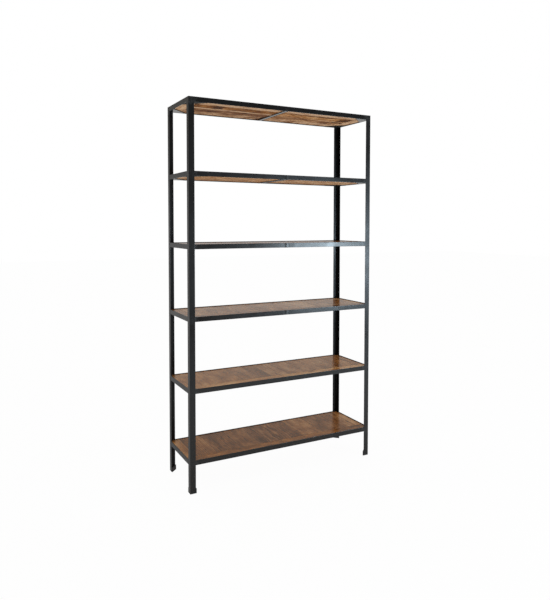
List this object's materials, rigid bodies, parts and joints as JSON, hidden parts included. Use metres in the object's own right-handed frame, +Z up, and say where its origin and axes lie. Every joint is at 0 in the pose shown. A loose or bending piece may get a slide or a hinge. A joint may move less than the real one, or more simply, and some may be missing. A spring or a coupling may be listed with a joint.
{
  "type": "open bookcase",
  "caption": "Open bookcase: black angle-iron posts carry flat-bar trays, with loose wooden boards lying in the trays.",
  "frame": {"origin": "on the floor under the middle of the bookcase", "axes": "+Z up, +X to the right of someone facing the front, -Y out of the front"},
  "size_m": [1.1, 0.345, 2],
  "materials": {
    "painted_steel_posts": "satin black paint on hot-rolled angle",
    "painted_steel_trays": "satin black paint on hot-rolled flat bar and plate",
    "oiled_wood": "solid wood staves, satin lacquer over a warm brown",
    "plastic_feet": "moulded black plastic"
  },
  "bodies": {
    "frame": {"post_front_left": "painted_steel_posts", "post_front_right": "painted_steel_posts", "post_back_left": "painted_steel_posts", "post_back_right": "painted_steel_posts", "foot_front_left": "plastic_feet", "foot_front_right": "plastic_feet", "foot_back_left": "plastic_feet", "foot_back_right": "plastic_feet", "shelf_1_rail_front": "painted_steel_trays", "shelf_1_rail_back": "painted_steel_trays", "shelf_1_rail_left": "painted_steel_trays", "shelf_1_rail_right": "painted_steel_trays", "shelf_1_cross_bar": "painted_steel_trays", "shelf_2_rail_front": "painted_steel_trays", "shelf_2_rail_back": "painted_steel_trays", "shelf_2_rail_left": "painted_steel_trays", "shelf_2_rail_right": "painted_steel_trays", "shelf_2_cross_bar": "painted_steel_trays", "shelf_3_rail_front": "painted_steel_trays", "shelf_3_rail_back": "painted_steel_trays", "shelf_3_rail_left": "painted_steel_trays", "shelf_3_rail_right": "painted_steel_trays", "shelf_3_cross_bar": "painted_steel_trays", "shelf_4_rail_front": "painted_steel_trays", "shelf_4_rail_back": "painted_steel_trays", "shelf_4_rail_left": "painted_steel_trays", "shelf_4_rail_right": "painted_steel_trays", "shelf_4_cross_bar": "painted_steel_trays", "shelf_5_rail_front": "painted_steel_trays", "shelf_5_rail_back": "painted_steel_trays", "shelf_5_rail_left": "painted_steel_trays", "shelf_5_rail_right": "painted_steel_trays", "shelf_5_cross_bar": "painted_steel_trays", "shelf_6_rail_front": "painted_steel_trays", "shelf_6_rail_back": "painted_steel_trays", "shelf_6_rail_left": "painted_steel_trays", "shelf_6_rail_right": "painted_steel_trays", "shelf_6_cross_bar": "painted_steel_trays"},
    "shelf_1_board_left": {"shelf_1_board_left": "oiled_wood"},
    "shelf_1_board_right": {"shelf_1_board_right": "oiled_wood"},
    "shelf_2_board_left": {"shelf_2_board_left": "oiled_wood"},
    "shelf_2_board_right": {"shelf_2_board_right": "oiled_wood"},
    "shelf_3_board_left": {"shelf_3_board_left": "oiled_wood"},
    "shelf_3_board_right": {"shelf_3_board_right": "oiled_wood"},
    "shelf_4_board_left": {"shelf_4_board_left": "oiled_wood"},
    "shelf_4_board_right": {"shelf_4_board_right": "oiled_wood"},
    "shelf_5_board_left": {"shelf_5_board_left": "oiled_wood"},
    "shelf_5_board_right": {"shelf_5_board_right": "oiled_wood"},
    "shelf_6_board_left": {"shelf_6_board_left": "oiled_wood"},
    "shelf_6_board_right": {"shelf_6_board_right": "oiled_wood"}
  },
  "joints": [
    {"name": "shelf_1_board_left_lift", "type": "slide", "parent": "frame", "child": "shelf_1_board_left", "axis": [0, 0, 1], "range_m": [0, 0.1]},
    {"name": "shelf_1_board_right_lift", "type": "slide", "parent": "frame", "child": "shelf_1_board_right", "axis": [0, 0, 1], "range_m": [0, 0.1]},
    {"name": "shelf_2_board_left_lift", "type": "slide", "parent": "frame", "child": "shelf_2_board_left", "axis": [0, 0, 1], "range_m": [0, 0.1]},
    {"name": "shelf_2_board_right_lift", "type": "slide", "parent": "frame", "child": "shelf_2_board_right", "axis": [0, 0, 1], "range_m": [0, 0.1]},
    {"name": "shelf_3_board_left_lift", "type": "slide", "parent": "frame", "child": "shelf_3_board_left", "axis": [0, 0, 1], "range_m": [0, 0.1]},
    {"name": "shelf_3_board_right_lift", "type": "slide", "parent": "frame", "child": "shelf_3_board_right", "axis": [0, 0, 1], "range_m": [0, 0.1]},
    {"name": "shelf_4_board_left_lift", "type": "slide", "parent": "frame", "child": "shelf_4_board_left", "axis": [0, 0, 1], "range_m": [0, 0.1]},
    {"name": "shelf_4_board_right_lift", "type": "slide", "parent": "frame", "child": "shelf_4_board_right", "axis": [0, 0, 1], "range_m": [0, 0.1]},
    {"name": "shelf_5_board_left_lift", "type": "slide", "parent": "frame", "child": "shelf_5_board_left", "axis": [0, 0, 1], "range_m": [0, 0.1]},
    {"name": "shelf_5_board_right_lift", "type": "slide", "parent": "frame", "child": "shelf_5_board_right", "axis": [0, 0, 1], "range_m": [0, 0.1]},
    {"name": "shelf_6_board_left_lift", "type": "slide", "parent": "frame", "child": "shelf_6_board_left", "axis": [0, 0, 1], "range_m": [0, 0.1]},
    {"name": "shelf_6_board_right_lift", "type": "slide", "parent": "frame", "child": "shelf_6_board_right", "axis": [0, 0, 1], "range_m": [0, 0.1]}
  ]
}
